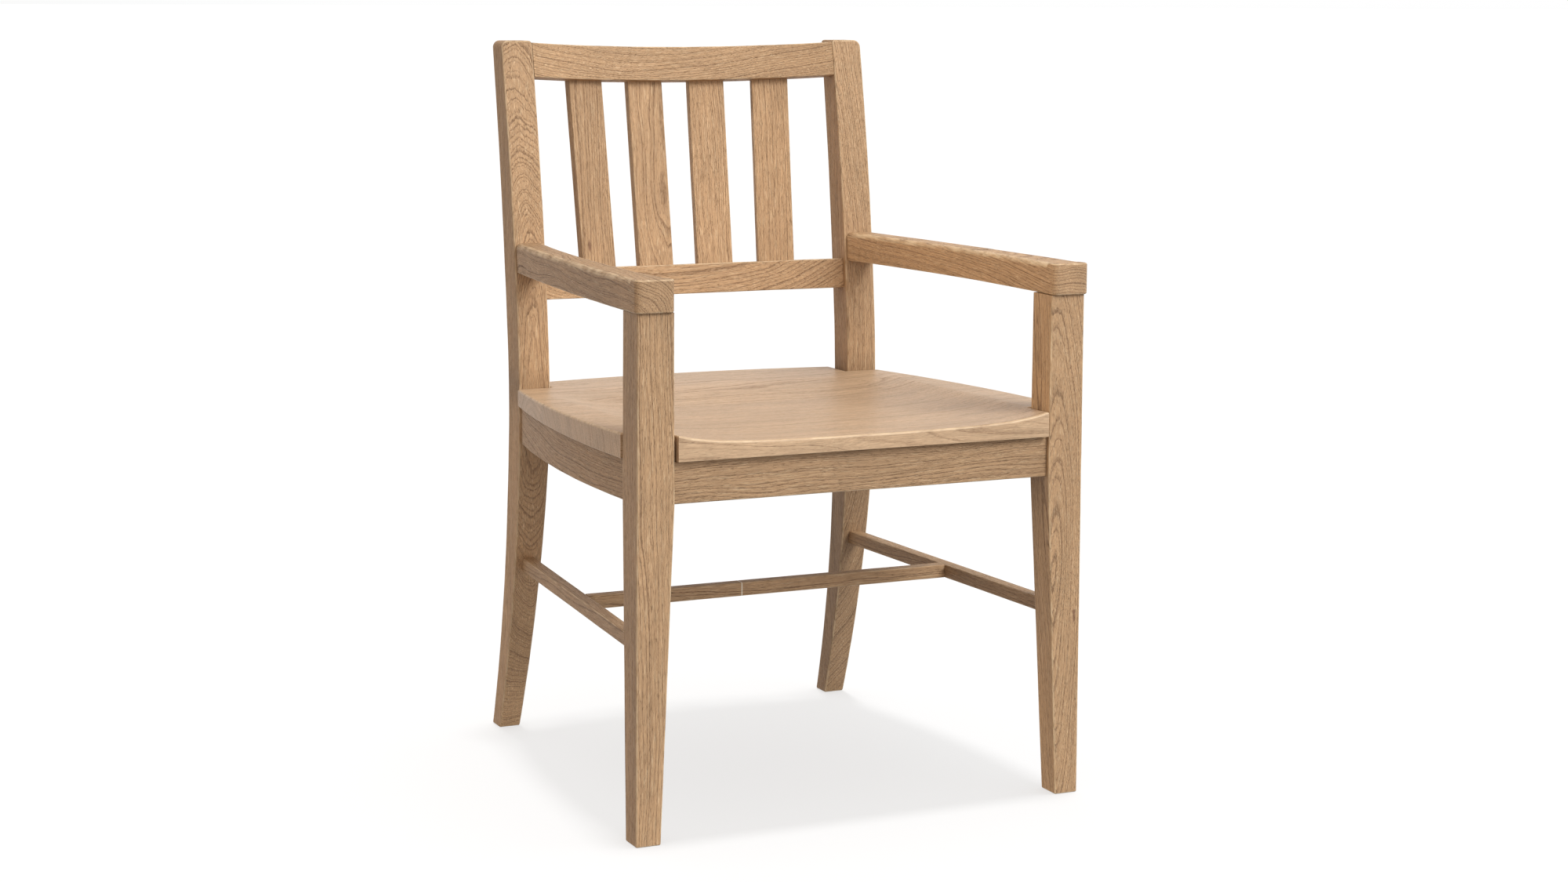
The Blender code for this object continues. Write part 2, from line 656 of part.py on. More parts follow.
def screw(name, head_at, direction, length, through, into):
    """A wood screw with a recessed head: through its block and into the next piece."""
    direction = direction.normalized()
    tip = head_at + direction * length
    rod(name, head_at, tip, SCREW_RADIUS, head=SCREW_HEAD, head_radius=SCREW_HEAD_RADIUS,
        colour=STEEL, rough=0.35, metal=1.0)
    hole = rod(f"{name}_hole", head_at - direction * GAP, tip + direction * GAP,
               SCREW_RADIUS + GAP, helper=True)
    recess = rod(f"{name}_recess", head_at + direction * GAP - direction * 0.06,
                 head_at + direction * GAP, COUNTERBORE_RADIUS, helper=True)
    cut(through, hole)
    cut(through, recess)
    cut(into, hole)


def corner_block(name, side, corner, toward, cross_face, side_apron, cross_piece):
    """A notched block. corner is the leg's inner corner and toward is +1 to the rear, -1 to the front."""
    reach_y = corner[1] + toward * BLOCK_REACH
    side_near = apron_side(corner[1]) - APRON_THICK - GAP
    side_far = apron_side(reach_y) - APRON_THICK - GAP
    outline = [(corner[0] - BLOCK_REACH, cross_face), (corner[0], cross_face),
               (corner[0], corner[1]), (side_near, corner[1]), (side_far, reach_y)]
    bm = bmesh.new()
    face = bm.faces.new([bm.verts.new((side * x, y, BLOCK_BOTTOM)) for x, y in outline])
    grown = bmesh.ops.extrude_face_region(bm, geom=[face])["geom"]
    risen = [v for v in grown if isinstance(v, bmesh.types.BMVert)]
    bmesh.ops.translate(bm, verts=risen, vec=(0, 0, BLOCK_HEIGHT))
    piece = finish_piece(name, bm, colour=BEECH, rough=0.75)

    # The slanting face runs from the first point of the outline to the last.
    slope = (reach_y - cross_face) / (side_far - (corner[0] - BLOCK_REACH))
    screw_x = corner[0] - BLOCK_REACH * 0.56
    face_y = cross_face + slope * (screw_x - (corner[0] - BLOCK_REACH))
    head = Vector((side * screw_x, mix(face_y, cross_face, 0.40), BLOCK_BOTTOM + BLOCK_HEIGHT * 0.7))
    screw(f"{name}_screw_1", head, Vector((0, -toward, 0)), SCREW_LENGTH, piece, cross_piece)

    screw_y = corner[1] + toward * BLOCK_REACH * 0.56
    face_x = corner[0] - BLOCK_REACH + (screw_y - cross_face) / slope
    wall_x = apron_side(screw_y) - APRON_THICK
    head = Vector((side * mix(face_x, wall_x, 0.40), screw_y, BLOCK_BOTTOM + BLOCK_HEIGHT * 0.3))
    screw(f"{name}_screw_2", head, Vector((side, 0, 0)), SCREW_LENGTH, piece, side_apron)

    foot = Vector((side * (corner[0] - 0.006), corner[1] + toward * 0.006,
                   BLOCK_BOTTOM + SCREW_RECESS))
    screw(f"{name}_seat_screw", foot, Vector((0, 0, 1)), SEAT_SCREW_LENGTH, piece, seat)
    return piece


for name, side in SIDES:
    corner_block(f"{name}_front_corner_block", side,
                 (POST_INNER - GAP, POST_FRONT_Y + POST_DEPTH + GAP), 1,
                 FRONT_APRON_Y + APRON_THICK + GAP, side_aprons[side], front_apron)
    corner_block(f"{name}_back_corner_block", side,
                 (LEG_INNER - GAP, LEG_FRONT_Y - GAP), -1,
                 BACK_APRON_Y - GAP, side_aprons[side], back_apron)
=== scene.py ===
# %% [markdown]
# # An oak armchair, finished in Blender
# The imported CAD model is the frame: it fixes every size and place. This lesson gives each
# visible board its softened edges and its own cut of oak, then lights the chair in a plain
# white studio. Everything is in metres, +Z up, and the chair faces -Y.

# %% Load the frame
from math import atan, cos, degrees, exp, radians, sin

import bmesh
import bpy
from mathutils import Matrix, Vector
from mathutils.noise import noise as perlin


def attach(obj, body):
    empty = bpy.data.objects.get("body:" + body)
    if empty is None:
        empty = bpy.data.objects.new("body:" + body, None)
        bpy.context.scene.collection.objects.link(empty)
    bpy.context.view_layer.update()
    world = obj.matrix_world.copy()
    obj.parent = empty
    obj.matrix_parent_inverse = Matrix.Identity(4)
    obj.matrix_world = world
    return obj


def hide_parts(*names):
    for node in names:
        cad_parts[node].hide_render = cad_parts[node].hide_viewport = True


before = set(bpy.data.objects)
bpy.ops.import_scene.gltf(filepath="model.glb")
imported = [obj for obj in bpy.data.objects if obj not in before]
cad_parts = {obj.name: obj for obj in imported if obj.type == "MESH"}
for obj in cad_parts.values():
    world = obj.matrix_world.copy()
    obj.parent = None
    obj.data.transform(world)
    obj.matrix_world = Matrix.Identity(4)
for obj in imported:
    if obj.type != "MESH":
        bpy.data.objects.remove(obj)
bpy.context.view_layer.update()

# %% [markdown]
# ## Camera and colour
# The camera comes first, so that every later choice can be seen. It stands to the left of
# the chair at about the height of its back and looks slightly down through a portrait lens.
# The Standard view keeps the oak's own colour, where a filmic view would grey it.

# %% Camera
CAMERA_AT = Vector((-1.42662, -3.1496, 0.94343))
CAMERA_TURN = 0.43364961
CAMERA_TILT = 0.15496850
CAMERA_ROLL = 0.0048120239
LENS_MM = 64.99


def camera_matrix():
    ahead = Vector((sin(CAMERA_TURN) * cos(CAMERA_TILT), cos(CAMERA_TURN) * cos(CAMERA_TILT),
                    -sin(CAMERA_TILT)))
    right = Vector((cos(CAMERA_TURN), -sin(CAMERA_TURN), 0.0))
    up = right.cross(ahead)
    rolled_right = right * cos(CAMERA_ROLL) + up * sin(CAMERA_ROLL)
    rolled_up = up * cos(CAMERA_ROLL) - right * sin(CAMERA_ROLL)
    turn = Matrix((rolled_right, rolled_up, -ahead)).transposed().to_4x4()
    return Matrix.Translation(CAMERA_AT) @ turn


lens = bpy.data.cameras.new("camera")
lens.lens = LENS_MM
lens.sensor_width = 36.0
lens.sensor_fit = "HORIZONTAL"
camera = bpy.data.objects.new("camera", lens)
bpy.context.scene.collection.objects.link(camera)
camera.matrix_world = camera_matrix()
bpy.context.scene.camera = camera
bpy.context.scene.view_settings.view_transform = "Standard"
print("camera", tuple(round(c, 3) for c in camera.location), lens.lens, "mm")

# %% [markdown]
# ## Sizes that the boards share
# The boards are sawn to curves: the back legs kick out below the seat and lean back above
# it, and the rails, the seat and the aprons are bowed. The same few curves give the shape
# of every neighbour, so each is written once as a function, as a template would be.

# %% Sizes and templates
HEIGHT = 0.890
FRONT_HALF, BACK_HALF = 0.286, 0.250
SEAT_LEVEL, SEAT_UNDERSIDE, APRON_BOTTOM = 0.458, 0.4365, 0.388
ARM_UNDERSIDE, ARM_TOP = 0.603, 0.640
POST_FRONT, POST_DEPTH, POST_INNER = -0.2964, 0.0445, 0.238
POST_SPLAY, POST_FOOT_WIDTH, POST_FOOT_DEPTH = 0.0037, 0.0305, 0.0332
LEG_FRONT, LEG_INNER, LEG_FOOT_WIDTH = 0.1824, 0.2088, 0.0284
LEG_FOOT_DEPTH, LEG_DEPTH_LOW, LEG_DEPTH_HIGH, LEG_DEPTH_TOP = 0.0282, 0.0410, 0.0418, 0.0350
LEG_KICK, KICK_CURVE = 0.0903, 1.92
LEG_RECLINE, RECLINE_CURVE = 0.0557, 1.55
GAP = 0.0003
SIDES = (("left", -1), ("right", 1))


def mix(a, b, t):
    return a + (b - a) * t


def clamp(t):
    return min(1.0, max(0.0, t))


def smooth(t):
    t = clamp(t)
    return t * t * (3.0 - 2.0 * t)


def bulge(t):
    """One in the middle of a run and nothing at its ends, as a sawn bow is."""
    return 4 * t * (1 - t)


def foot_taper(z):
    return clamp((APRON_BOTTOM - z) / APRON_BOTTOM)


def post_outer(z):
    return FRONT_HALF - POST_SPLAY * z / ARM_UNDERSIDE


def post_inner(z):
    return mix(POST_INNER, FRONT_HALF - POST_FOOT_WIDTH, foot_taper(z))


def post_rear(z):
    return POST_FRONT + mix(POST_DEPTH, POST_FOOT_DEPTH, foot_taper(z))


def leg_front(z):
    if z < SEAT_LEVEL:
        return LEG_FRONT + LEG_KICK * ((SEAT_LEVEL - z) / SEAT_LEVEL) ** KICK_CURVE
    above = (z - SEAT_LEVEL) / (HEIGHT - SEAT_LEVEL)
    return LEG_FRONT + LEG_RECLINE * above ** RECLINE_CURVE


def leg_depth(z):
    low, high = SEAT_LEVEL * 2 / 3, SEAT_LEVEL * 4 / 3
    if z < low:
        return mix(LEG_FOOT_DEPTH, LEG_DEPTH_LOW, z / low)
    if z < high:
        return mix(LEG_DEPTH_LOW, LEG_DEPTH_HIGH, (z - low) / (high - low))
    return mix(LEG_DEPTH_HIGH, LEG_DEPTH_TOP, (z - high) / (HEIGHT - high))


def leg_inner(z):
    return mix(LEG_INNER, BACK_HALF - LEG_FOOT_WIDTH, foot_taper(z))


def lean_at(z):
    """How far the back leg leans at this height, from its front face 5 mm below and above."""
    step = 0.005
    return atan((leg_front(z + step) - leg_front(z - step)) / (2 * step))


print("the back leans", round(degrees(lean_at(0.8)), 1), "degrees at the slats")

# %% [markdown]
# ## One way to saw a board
# Every board starts as a unit cube, is cut into rings, and has each corner sent to its
# place on the template. The long edges are then rounded with a small bevel, as sandpaper
# leaves them, and the bevelled strip is remembered in a vertex attribute, which the finish
# uses to pale the wood: partly as wear where hands and cloths rub it, and partly as a
# painted highlight along the rounded edge. Ends that butt against another board stay
# square, so that the joint shows as a fine dark line.

# %% The board maker
SANDED_EDGE, FINE_EDGE, BAR_EDGE = 0.0021, 0.0016, 0.0014
UNEVEN = 0.00025
HOLLOWS_PER_METRE = 23.0
SHARP_CORNER, CREASE = radians(50), radians(42)
pieces = {}


def finish_board(name, bm, node):
    """Writes the mesh, marks its creases sharp, and lets it stand for the CAD node."""
    bmesh.ops.recalc_face_normals(bm, faces=bm.faces)
    for face in bm.faces:
        face.smooth = True
    mesh = bpy.data.meshes.new(name)
    bm.to_mesh(mesh)
    bm.free()
    mesh.set_sharp_from_angle(angle=CREASE)
    board = bpy.data.objects.new(name, mesh)
    bpy.context.scene.collection.objects.link(board)
    weighted = board.modifiers.new("flat faces stay flat", "WEIGHTED_NORMAL")
    weighted.keep_sharp = True
    weighted.weight = 90
    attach(board, "root")
    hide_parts(node)
    pieces[name] = board
    print(name, len(mesh.polygons), "faces")


def round_edges(bm, edges, radius, segments, wear):
    """Bevels these edges and marks the strip's middle for wear and a painted highlight."""
    made = bmesh.ops.bevel(bm, geom=edges, offset=radius, segments=segments, profile=0.5,
                           affect="EDGES", clamp_overlap=True, material=-1)
    strip = set(made["faces"])
    for vert in made["verts"]:
        vert[wear] = float(strip.issuperset(vert.link_faces))


def hand_planed(place, cuts, corner):
    """A point of the board, drawn in by up to UNEVEN where the plane took a little more."""
    true = Vector(place(*corner))
    heart = Vector(place(*(t if count else 0.5 for t, count in zip(corner, cuts))))
    dips = perlin(true * HOLLOWS_PER_METRE)
    return true + (heart - true).normalized() * UNEVEN * clamp(0.5 + dips)


# %% Which edges
# An edge is picked by its middle (u, v, w) in the unit cube, before the board is placed.
def at_start(t):
    return t < 0.001


def at_end(t):
    return t > 0.999


def ends_across(u, v, w):
    return at_start(u) or at_end(u)


def ends_deep(u, v, w):
    return at_start(v) or at_end(v)


def ends_upright(u, v, w):
    return at_start(w) or at_end(w)


# %% One board
def board(name, place, cuts=(0, 0, 0), butts=None, rounds=(), soft=SANDED_EDGE):
    """A unit cube cut along X, Y, Z, placed by place(u, v, w), with rounded edges.

    butts tests an edge's middle (u, v, w) and keeps the edge square where it says so, and
    rounds holds (test, radius, segments) for the edges that are rounded more.
    """
    bm = bmesh.new()
    wear = bm.verts.layers.float.new("edge_wear")
    bmesh.ops.create_cube(bm, size=1.0, matrix=Matrix.Translation((0.5, 0.5, 0.5)))
    for axis, count in enumerate(cuts):
        if count:
            along = [e for e in bm.edges if abs(e.verts[0].co[axis] - e.verts[1].co[axis]) > 0.5]
            bmesh.ops.subdivide_edges(bm, edges=along, cuts=count, use_grid_fill=True)
    middles = {e: (e.verts[0].co + e.verts[1].co) / 2 for e in bm.edges}
    square = {e for e, m in middles.items() if butts and butts(*m)}
    special = [[e for e, m in middles.items() if test(*m)] for test, _, _ in rounds]
    for vert in bm.verts:
        vert.co = hand_planed(place, cuts, vert.co)
    bmesh.ops.recalc_face_normals(bm, faces=bm.faces)
    for edges, (_, radius, segments) in zip(special, rounds):
        round_edges(bm, [e for e in edges if e.is_valid], radius, segments, wear)
    square = {e for e in square if e.is_valid}
    sharp = [e for e in bm.edges if e.calc_face_angle(0.0) > SHARP_CORNER and e not in square]
    round_edges(bm, sharp, soft, 3, wear)
    finish_board(name, bm, name.replace("oak_", ""))


# %% [markdown]
# ## Back legs and front posts
# A back leg is one sawn post: it kicks back to the floor, stands upright at the seat and
# leans back to the crest, and its top is rounded over, more on the outside. A front post is
# straight, splays a few millimetres to the floor and tapers on its two inner faces. The
# legs are cut into short lengths, so that the curve is smooth and the kick and the taper
# start in the right place.

# %% Back legs and front posts
LEG_TOP_ROUND = 0.009
LEG_CUTS, POST_CUTS = 47, 15


def outer_top(u, v, w):
    return at_end(w) and at_end(u)


def inner_top(u, v, w):
    return at_end(w) and at_start(u)


def under_arm(u, v, w):
    return at_end(w)


for name, side in SIDES:
    def leg_place(u, v, w, side=side):
        z = HEIGHT * w
        x = mix(leg_inner(z), BACK_HALF, u)
        return side * x, leg_front(z) + leg_depth(z) * v, z

    board(f"oak_{name}_back_leg", leg_place, (0, 0, LEG_CUTS),
          rounds=((outer_top, LEG_TOP_ROUND, 6), (inner_top, LEG_TOP_ROUND / 2, 4)))

    def post_place(u, v, w, side=side):
        z = APRON_BOTTOM * w * 2 if w < 0.5 else mix(APRON_BOTTOM, ARM_UNDERSIDE - GAP, 2 * w - 1)
        x = mix(post_inner(z), post_outer(z), u)
        return side * x, mix(POST_FRONT, post_rear(z), v), z

    board(f"oak_{name}_front_leg", post_place, (0, 0, POST_CUTS), butts=under_arm)

# %% [markdown]
# ## Arms
# An arm is bandsawn in plan: wide over the post, narrower in the middle, and it ends
# against the front of the back leg. Its front end is rounded over and its top edges are
# softer than the rest, because that is where the hand lies.

# %% Arms
ARM_FRONT = POST_FRONT - 0.0045
ARM_OVERHANG, ARM_BACK_IN, ARM_BOW = 0.0034, 0.002, 0.006
ARM_WIDTH_FRONT, ARM_WIDTH_MIDDLE, ARM_WIDTH_BACK = 0.0477, 0.0345, 0.0365
ARM_CUTS = 23
END_CORNER_ROUND, END_TOP_ROUND, END_BOTTOM_ROUND, LONG_TOP_ROUND = 0.0078, 0.0085, 0.004, 0.0065


def arm_outer(t):
    front = post_outer(ARM_UNDERSIDE) + ARM_OVERHANG
    return mix(front, BACK_HALF - ARM_BACK_IN, t) + ARM_BOW * bulge(t)


def arm_width(t):
    waist = (ARM_WIDTH_FRONT + ARM_WIDTH_BACK) / 2 - ARM_WIDTH_MIDDLE
    return mix(ARM_WIDTH_FRONT, ARM_WIDTH_BACK, t) - waist * bulge(t)


def against_leg(u, v, w):
    return at_end(v)


def end_corner(u, v, w):
    return at_start(v) and not ends_upright(u, v, w)


def end_top(u, v, w):
    return at_start(v) and at_end(w)


def end_bottom(u, v, w):
    return at_start(v) and at_start(w)


def long_top(u, v, w):
    return at_end(w) and ends_across(u, v, w) and not ends_deep(u, v, w)


for name, side in SIDES:
    def arm_place(u, v, w, side=side):
        z = mix(ARM_UNDERSIDE, ARM_TOP, w)
        outer = arm_outer(v)
        x = mix(outer - arm_width(v), outer, u)
        return side * x, mix(ARM_FRONT, leg_front(z) - GAP, v), z

    board(f"oak_{name}_arm", arm_place, (0, ARM_CUTS, 0), butts=against_leg,
          rounds=((end_corner, END_CORNER_ROUND, 5), (end_top, END_TOP_ROUND, 5),
                  (end_bottom, END_BOTTOM_ROUND, 4), (long_top, LONG_TOP_ROUND, 5)))

# %% [markdown]
# ## The bowed back
# The crest and the lower rail are sawn to the same bow and lean with the legs. The four
# slats stand between them, each turned a little to follow the bow. Their ends reach 2 mm
# into grooves in the rails, as far as is needed to hide them.

# %% Rails and slats
BACK_BOW = 0.0335
RAIL_CUTS, RAIL_EDGE = 31, 0.0017
CREST = {"centre": 0.8666, "height": 0.0440, "depth": 0.020, "setback": 0.0010}
LOWER = {"centre": 0.5875, "height": 0.0387, "depth": 0.022, "setback": 0.0070}


def bow_at(x):
    return BACK_BOW * (1.0 - (x / LEG_INNER) ** 2)


def rail_point(x, inward, upward, centre, setback):
    lean = lean_at(centre)
    back = setback + inward
    return Vector((x, leg_front(centre) + back * cos(lean) + upward * sin(lean),
                   centre - back * sin(lean) + upward * cos(lean)))


def rail(name, centre, height, depth, setback):
    def place(u, v, w):
        x = mix(-LEG_INNER + GAP, LEG_INNER - GAP, u)
        return rail_point(x, bow_at(x) + depth * v, height * (w - 0.5), centre, setback)

    board(name, place, (RAIL_CUTS, 0, 0), butts=ends_across, soft=RAIL_EDGE)


rail("oak_crest_rail", **CREST)
rail("oak_lower_back_rail", **LOWER)

# %% Slats
SLAT_COUNT, PITCH_LOW, PITCH_HIGH = 4, 0.0833, 0.0868
SLAT_WIDTH, SLAT_THICK, SLAT_SETBACK = 0.0490, 0.0120, 0.0113
SLAT_IN_GROOVE, SLAT_CUTS = 0.002, 3
for index in range(SLAT_COUNT):
    offset = index - (SLAT_COUNT - 1) / 2
    low_x, high_x = offset * PITCH_LOW, offset * PITCH_HIGH
    low = rail_point(low_x, bow_at(low_x) + SLAT_THICK / 2,
                     LOWER["height"] / 2 - SLAT_IN_GROOVE, LOWER["centre"], SLAT_SETBACK)
    high = rail_point(high_x, bow_at(high_x) + SLAT_THICK / 2,
                      SLAT_IN_GROOVE - CREST["height"] / 2, CREST["centre"], SLAT_SETBACK)
    slope = -BACK_BOW * (low_x + high_x) / LEG_INNER ** 2
    across = Vector((1.0, slope, 0.0)).normalized()
    facing = across.cross((high - low).normalized()).normalized()

    def slat_place(u, v, w, low=low, high=high, across=across, facing=facing):
        return (low.lerp(high, w) + across * SLAT_WIDTH * (u - 0.5)
                - facing * SLAT_THICK * (v - 0.5))

    board(f"oak_back_slat_{index + 1}", slat_place, (0, 0, SLAT_CUTS), butts=ends_upright,
          soft=FINE_EDGE)

# %% [markdown]
# ## The saddled seat
# The seat is one thick board, notched round the posts and the back legs, with a
# shallow hollow that opens at the front. A grid gives it enough points to be hollowed. Its
# lines are laid along the notches, so that the corner cells can be taken out cleanly, and
# the whole sheet is then extruded down to its flat underside.

# %% The seat's templates
SEAT_FRONT = POST_FRONT - 0.004
NOTCH_GAP = 0.0027
NOTCH_X, NOTCH_Y = POST_INNER - NOTCH_GAP, POST_FRONT + POST_DEPTH + NOTCH_GAP
LEG_NOTCH_X = LEG_INNER - NOTCH_GAP
SIDE_PROUD_FRONT, SIDE_PROUD_BACK, SIDE_BOW = 0.0009, 0.002, 0.0125
REAR_PROUD, REAR_BOW = 0.001, 0.028
RIM_RISE, HOLLOW, HOLLOW_RUN = 0.0085, 0.0122, 0.045
HOLLOW_ENDS, HOLLOW_FADE = 0.62, 0.34
INNER_COLUMNS, MIDDLE_COLUMNS, OUTER_COLUMNS = 20, 3, 5
FRONT_ROWS, MIDDLE_ROWS, REAR_ROWS = 5, 36, 6
COLUMNS = 2 * (INNER_COLUMNS + MIDDLE_COLUMNS + OUTER_COLUMNS)
ROWS = FRONT_ROWS + MIDDLE_ROWS + REAR_ROWS


def seat_side(y):
    start = POST_FRONT + POST_DEPTH
    t = (y - start) / (LEG_FRONT - start)
    front = post_outer(SEAT_LEVEL) + SIDE_PROUD_FRONT
    return mix(front, BACK_HALF + SIDE_PROUD_BACK, t) + SIDE_BOW * bulge(t)


def seat_top(x, y):
    t = (y - SEAT_FRONT) / (LEG_FRONT - SEAT_FRONT)
    rim = SEAT_LEVEL + RIM_RISE * (1.0 - clamp(t))
    inside = max(0.0, NOTCH_X - abs(x))
    wide = 1.0 - exp(-inside / HOLLOW_RUN)
    return rim - HOLLOW * wide * (1.0 - smooth((t - HOLLOW_ENDS) / HOLLOW_FADE))


def seat_y(row, x):
    if row <= FRONT_ROWS:
        return mix(SEAT_FRONT, NOTCH_Y, row / FRONT_ROWS)
    if row <= FRONT_ROWS + MIDDLE_ROWS:
        return mix(NOTCH_Y, LEG_FRONT - GAP, (row - FRONT_ROWS) / MIDDLE_ROWS)
    bow = REAR_BOW * (1.0 - (x / (BACK_HALF + SIDE_PROUD_BACK)) ** 2)
    rear = LEG_FRONT + LEG_DEPTH_HIGH + REAR_PROUD + bow
    return mix(LEG_FRONT - GAP, rear, (row - FRONT_ROWS - MIDDLE_ROWS) / REAR_ROWS)


def seat_x(column, y):
    if column <= INNER_COLUMNS:
        return LEG_NOTCH_X * column / INNER_COLUMNS
    if column <= INNER_COLUMNS + MIDDLE_COLUMNS:
        return mix(LEG_NOTCH_X, NOTCH_X, (column - INNER_COLUMNS) / MIDDLE_COLUMNS)
    part = (column - INNER_COLUMNS - MIDDLE_COLUMNS) / OUTER_COLUMNS
    return mix(NOTCH_X, seat_side(min(y, LEG_FRONT)), part)


# %% Seat
UPPER_EDGE, LOWER_EDGE = 0.0028, 0.0012
UNDERNEATH = SEAT_UNDERSIDE + 0.002
bm = bmesh.new()
wear = bm.verts.layers.float.new("edge_wear")
grid = Matrix.Translation((COLUMNS / 2, ROWS / 2, 0)) @ Matrix.Diagonal((COLUMNS, ROWS, 1, 1))
bmesh.ops.create_grid(bm, x_segments=COLUMNS, y_segments=ROWS, size=0.5, matrix=grid)


def in_notch(face):
    column, row = face.calc_center_median()[:2]
    out = abs(column - COLUMNS / 2)
    if row < FRONT_ROWS:
        return out > INNER_COLUMNS + MIDDLE_COLUMNS
    return row > FRONT_ROWS + MIDDLE_ROWS and out > INNER_COLUMNS


bmesh.ops.delete(bm, geom=[f for f in bm.faces if in_notch(f)], context="FACES")
for vert in bm.verts:
    column, row = round(vert.co.x - COLUMNS / 2), round(vert.co.y)
    side = -1 if column < 0 else 1
    x = seat_x(abs(column), seat_y(row, 0.0))
    y = seat_y(row, x)
    vert.co = (side * x, y, seat_top(x, y))
lowered = bmesh.ops.extrude_face_region(bm, geom=list(bm.faces))["geom"]
for vert in lowered:
    if isinstance(vert, bmesh.types.BMVert):
        vert.co.z = SEAT_UNDERSIDE
bmesh.ops.recalc_face_normals(bm, faces=bm.faces)
rim = [e for e in bm.edges if e.calc_face_angle(0.0) > SHARP_CORNER and e.is_convex]
upper = [e for e in rim if min(v.co.z for v in e.verts) > UNDERNEATH]
lower = [e for e in rim if max(v.co.z for v in e.verts) < UNDERNEATH]
round_edges(bm, upper, UPPER_EDGE, 4, wear)
round_edges(bm, [e for e in lower if e.is_valid], LOWER_EDGE, 2, wear)
finish_board("oak_seat", bm, "seat")

# %% [markdown]
# ## Aprons and stretchers
# The aprons carry the seat between the legs. The side ones are bowed like the seat's edge
# above them. The stretchers are thin square bars that rise slightly to the back, and the
# cross stretcher ties the two side ones in the middle.

# %% Aprons
APRON_TOP = SEAT_UNDERSIDE - GAP
APRON_THICK, FRONT_APRON_SETBACK, BACK_APRON_SETBACK = 0.020, 0.005, 0.0125
SIDE_FRONT_IN, SIDE_BACK_IN, SIDE_APRON_BOW = 0.005, 0.0025, 0.013
CROSS_CUTS, SIDE_CUTS = 9, 23


def cross_apron(name, front, inner):
    def place(u, v, w):
        reach = inner - GAP
        return mix(-reach, reach, u), front + APRON_THICK * v, mix(APRON_BOTTOM, APRON_TOP, w)

    board(name, place, (CROSS_CUTS, 0, 0), butts=ends_across, soft=FINE_EDGE)


cross_apron("oak_front_apron", POST_FRONT + FRONT_APRON_SETBACK, POST_INNER)
cross_apron("oak_back_apron", LEG_FRONT + BACK_APRON_SETBACK, LEG_INNER)


def apron_side(y):
    start = POST_FRONT + POST_DEPTH
    t = (y - start) / (LEG_FRONT - start)
    front = post_outer(SEAT_LEVEL) - SIDE_FRONT_IN
    return mix(front, BACK_HALF - SIDE_BACK_IN, t) + SIDE_APRON_BOW * bulge(t)


for name, side in SIDES:
    def apron_place(u, v, w, side=side):
        z = mix(APRON_BOTTOM, APRON_TOP, w)
        y = mix(post_rear(z) + GAP, leg_front(z) - GAP, v)
        return side * (apron_side(y) - APRON_THICK * (1 - u)), y, z

    board(f"oak_{name}_side_apron", apron_place, (0, SIDE_CUTS, 0), butts=ends_deep,
          soft=FINE_EDGE)

# %% Stretchers
BAR_WIDTH, BAR_HEIGHT = 0.016, 0.017
TOP_FRONT, TOP_BACK = 0.2325, 0.2370
CROSS_BAR_BACK = 0.269
BAR_CUTS = 9


def stretcher_top(y):
    start = POST_FRONT + POST_DEPTH
    return mix(TOP_FRONT, TOP_BACK, (y - start) / (LEG_FRONT - start))


middle_z = (TOP_FRONT + TOP_BACK - BAR_HEIGHT) / 2
run_start, run_end = post_rear(middle_z), leg_front(middle_z)
front_x = (post_inner(middle_z) + post_outer(middle_z)) / 2
back_x = (leg_inner(middle_z) + BACK_HALF) / 2


def stretcher_x(y):
    return mix(front_x, back_x, (y - run_start) / (run_end - run_start))


for name, side in SIDES:
    def bar_place(u, v, w, side=side):
        rough_y = mix(run_start, run_end, v)
        z = stretcher_top(rough_y) - BAR_HEIGHT * (1 - w)
        y = mix(post_rear(z) + GAP, leg_front(z) - GAP, v)
        return side * (stretcher_x(y) + BAR_WIDTH * (u - 0.5)), y, z

    board(f"oak_{name}_side_stretcher", bar_place, (0, BAR_CUTS, 0), butts=ends_deep,
          soft=BAR_EDGE)

cross_y = POST_FRONT + CROSS_BAR_BACK


def cross_place(u, v, w):
    y = cross_y + BAR_WIDTH * (v - 0.5)
    reach = stretcher_x(y) - BAR_WIDTH / 2 - GAP
    return mix(-reach, reach, u), y, stretcher_top(cross_y) - BAR_HEIGHT * (1 - w)


board("oak_cross_stretcher", cross_place, (BAR_CUTS, 0, 0), butts=ends_across, soft=BAR_EDGE)

# %% [markdown]
# ## How the oak is drawn
# Real boards are slices of a log, so the finish is a log: rings round a pith line, which
# every board cuts in its own way. A face along the rings shows arches, a face across them
# shows straight lines, and a curved leg shows both, with nothing painted on. Each material
# says where the pith runs past its board, in the board's own coordinates. Wire brushing
# takes the soft early wood out of each ring, which leaves dark, slightly sunken lines.

# %% Colour and node helpers
def hex_colour(code):
    """An sRGB hex colour as the linear values that Blender's shaders use."""
    channels = [int(code[i:i + 2], 16) / 255 for i in (0, 2, 4)]
    linear = [c / 12.92 if c <= 0.04045 else ((c + 0.055) / 1.055) ** 2.4 for c in channels]
    return (*linear, 1.0)


def add_node(tree, kind, sockets, **settings):
    """Adds a node, sets its properties, and feeds each socket a link or a value."""
    node = tree.nodes.new("ShaderNode" + kind)
    for key, value in settings.items():
        setattr(node, key, value)
    for key, value in sockets.items():
        if isinstance(value, bpy.types.NodeSocket):
            tree.links.new(value, node.inputs[key])
        else:
            node.inputs[key].default_value = value
    return node.outputs
